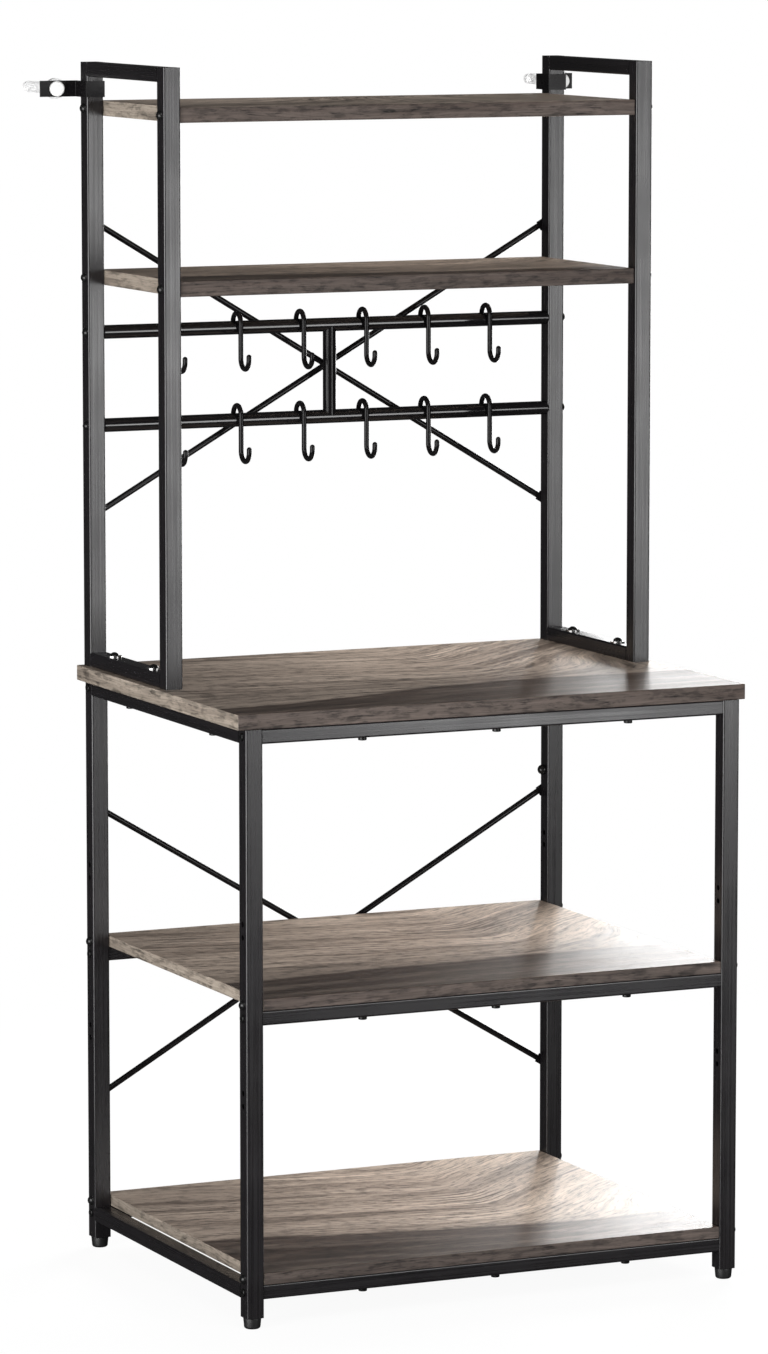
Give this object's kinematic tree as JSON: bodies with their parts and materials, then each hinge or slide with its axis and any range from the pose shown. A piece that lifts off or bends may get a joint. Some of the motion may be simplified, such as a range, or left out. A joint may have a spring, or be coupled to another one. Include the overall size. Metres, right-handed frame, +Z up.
{
  "type": "bakers rack",
  "caption": "Tall open bakers rack of black square tube with wood-effect boards, a shallow hutch above a worktop, hook rails and crossed rods at the back.",
  "frame": {"origin": "on the floor under the middle of the rack's bounding box, wall plugs included", "axes": "+X to the right seen from the front, +Y towards the wall, +Z up"},
  "size_m": [0.663, 0.562, 1.349],
  "materials": {
    "frame_metal": "satin black powder coat",
    "hook_rail_metal": "smooth black powder coat",
    "hook_metal": "smooth black coating",
    "board": "greyed rustic brown wood pattern, matt",
    "foot_plastic": "moulded black",
    "black_fastener": "blackened steel",
    "washer_steel": "bright washers under dark domes",
    "wall_screw_steel": "zinc plated",
    "cap_plastic": "white moulded cap",
    "plug_plastic": "light grey translucent plug behind a dark collar"
  },
  "bodies": {
    "rack": {"leg_front_left": "frame_metal", "leg_rear_left": "frame_metal", "leg_front_right": "frame_metal", "leg_rear_right": "frame_metal", "side_rail_top_left": "frame_metal", "side_rail_top_right": "frame_metal", "side_rail_bottom_left": "frame_metal", "side_rail_bottom_right": "frame_metal", "front_rail_top": "frame_metal", "front_rail_middle": "frame_metal", "front_rail_bottom": "frame_metal", "rear_rail_top": "frame_metal", "rear_rail_middle": "frame_metal", "rear_rail_bottom": "frame_metal", "hutch_post_front_left": "frame_metal", "hutch_post_rear_left": "frame_metal", "hutch_post_front_right": "frame_metal", "hutch_post_rear_right": "frame_metal", "hutch_top_rail_left": "frame_metal", "hutch_top_rail_right": "frame_metal", "hutch_bottom_rail_left": "frame_metal", "hutch_bottom_rail_right": "frame_metal", "base_brace_falling": "frame_metal", "base_brace_rising": "frame_metal", "hutch_brace_falling": "frame_metal", "hutch_brace_rising": "frame_metal", "anti_tip_bracket_left": "frame_metal", "anti_tip_bracket_right": "frame_metal", "hook_rail_upper": "hook_rail_metal", "hook_rail_lower": "hook_rail_metal", "hook_rail_link": "hook_rail_metal", "worktop": "board", "middle_shelf": "board", "bottom_shelf": "board", "hutch_shelf_top": "board", "hutch_shelf_middle": "board", "rail_bolts": "black_fastener", "dome_bolts": "black_fastener", "board_screws": "black_fastener", "brace_screws": "black_fastener", "hutch_bolts": "washer_steel", "wall_screws": "wall_screw_steel", "screw_caps": "cap_plastic", "wall_plugs": "plug_plastic"},
    "hook_upper_1": {"hook_upper_1": "hook_metal"},
    "hook_upper_2": {"hook_upper_2": "hook_metal"},
    "hook_upper_3": {"hook_upper_3": "hook_metal"},
    "hook_upper_4": {"hook_upper_4": "hook_metal"},
    "hook_upper_5": {"hook_upper_5": "hook_metal"},
    "hook_upper_6": {"hook_upper_6": "hook_metal"},
    "hook_lower_1": {"hook_lower_1": "hook_metal"},
    "hook_lower_2": {"hook_lower_2": "hook_metal"},
    "hook_lower_3": {"hook_lower_3": "hook_metal"},
    "hook_lower_4": {"hook_lower_4": "hook_metal"},
    "hook_lower_5": {"hook_lower_5": "hook_metal"},
    "hook_lower_6": {"hook_lower_6": "hook_metal"},
    "foot_front_left": {"foot_front_left": "foot_plastic"},
    "foot_rear_left": {"foot_rear_left": "foot_plastic"},
    "foot_front_right": {"foot_front_right": "foot_plastic"},
    "foot_rear_right": {"foot_rear_right": "foot_plastic"}
  },
  "joints": [
    {"name": "hook_upper_1_swing", "type": "hinge", "parent": "rack", "child": "hook_upper_1", "pos_m": [-0.1815, 0.167, 1.047], "axis": [1, 0, 0], "range_deg": [-70, 25]},
    {"name": "hook_upper_2_swing", "type": "hinge", "parent": "rack", "child": "hook_upper_2", "pos_m": [-0.1033, 0.167, 1.047], "axis": [1, 0, 0], "range_deg": [-70, 25]},
    {"name": "hook_upper_3_swing", "type": "hinge", "parent": "rack", "child": "hook_upper_3", "pos_m": [-0.0251, 0.167, 1.047], "axis": [1, 0, 0], "range_deg": [-70, 25]},
    {"name": "hook_upper_4_swing", "type": "hinge", "parent": "rack", "child": "hook_upper_4", "pos_m": [0.0531, 0.167, 1.047], "axis": [1, 0, 0], "range_deg": [-70, 25]},
    {"name": "hook_upper_5_swing", "type": "hinge", "parent": "rack", "child": "hook_upper_5", "pos_m": [0.1313, 0.167, 1.047], "axis": [1, 0, 0], "range_deg": [-70, 25]},
    {"name": "hook_upper_6_swing", "type": "hinge", "parent": "rack", "child": "hook_upper_6", "pos_m": [0.2095, 0.167, 1.047], "axis": [1, 0, 0], "range_deg": [-70, 25]},
    {"name": "hook_lower_1_swing", "type": "hinge", "parent": "rack", "child": "hook_lower_1", "pos_m": [-0.1815, 0.167, 0.942], "axis": [1, 0, 0], "range_deg": [-70, 25]},
    {"name": "hook_lower_2_swing", "type": "hinge", "parent": "rack", "child": "hook_lower_2", "pos_m": [-0.1033, 0.167, 0.942], "axis": [1, 0, 0], "range_deg": [-70, 25]},
    {"name": "hook_lower_3_swing", "type": "hinge", "parent": "rack", "child": "hook_lower_3", "pos_m": [-0.0251, 0.167, 0.942], "axis": [1, 0, 0], "range_deg": [-70, 25]},
    {"name": "hook_lower_4_swing", "type": "hinge", "parent": "rack", "child": "hook_lower_4", "pos_m": [0.0531, 0.167, 0.942], "axis": [1, 0, 0], "range_deg": [-70, 25]},
    {"name": "hook_lower_5_swing", "type": "hinge", "parent": "rack", "child": "hook_lower_5", "pos_m": [0.1313, 0.167, 0.942], "axis": [1, 0, 0], "range_deg": [-70, 25]},
    {"name": "hook_lower_6_swing", "type": "hinge", "parent": "rack", "child": "hook_lower_6", "pos_m": [0.2095, 0.167, 0.942], "axis": [1, 0, 0], "range_deg": [-70, 25]},
    {"name": "foot_front_left_turn", "type": "hinge", "parent": "rack", "child": "foot_front_left", "pos_m": [-0.2775, -0.271, 0], "axis": [0, 0, 1], "range_deg": [0, 1800]},
    {"name": "foot_rear_left_turn", "type": "hinge", "parent": "rack", "child": "foot_rear_left", "pos_m": [-0.2775, 0.167, 0], "axis": [0, 0, 1], "range_deg": [0, 1800]},
    {"name": "foot_front_right_turn", "type": "hinge", "parent": "rack", "child": "foot_front_right", "pos_m": [0.2965, -0.271, 0], "axis": [0, 0, 1], "range_deg": [0, 1800]},
    {"name": "foot_rear_right_turn", "type": "hinge", "parent": "rack", "child": "foot_rear_right", "pos_m": [0.2965, 0.167, 0], "axis": [0, 0, 1], "range_deg": [0, 1800]}
  ]
}
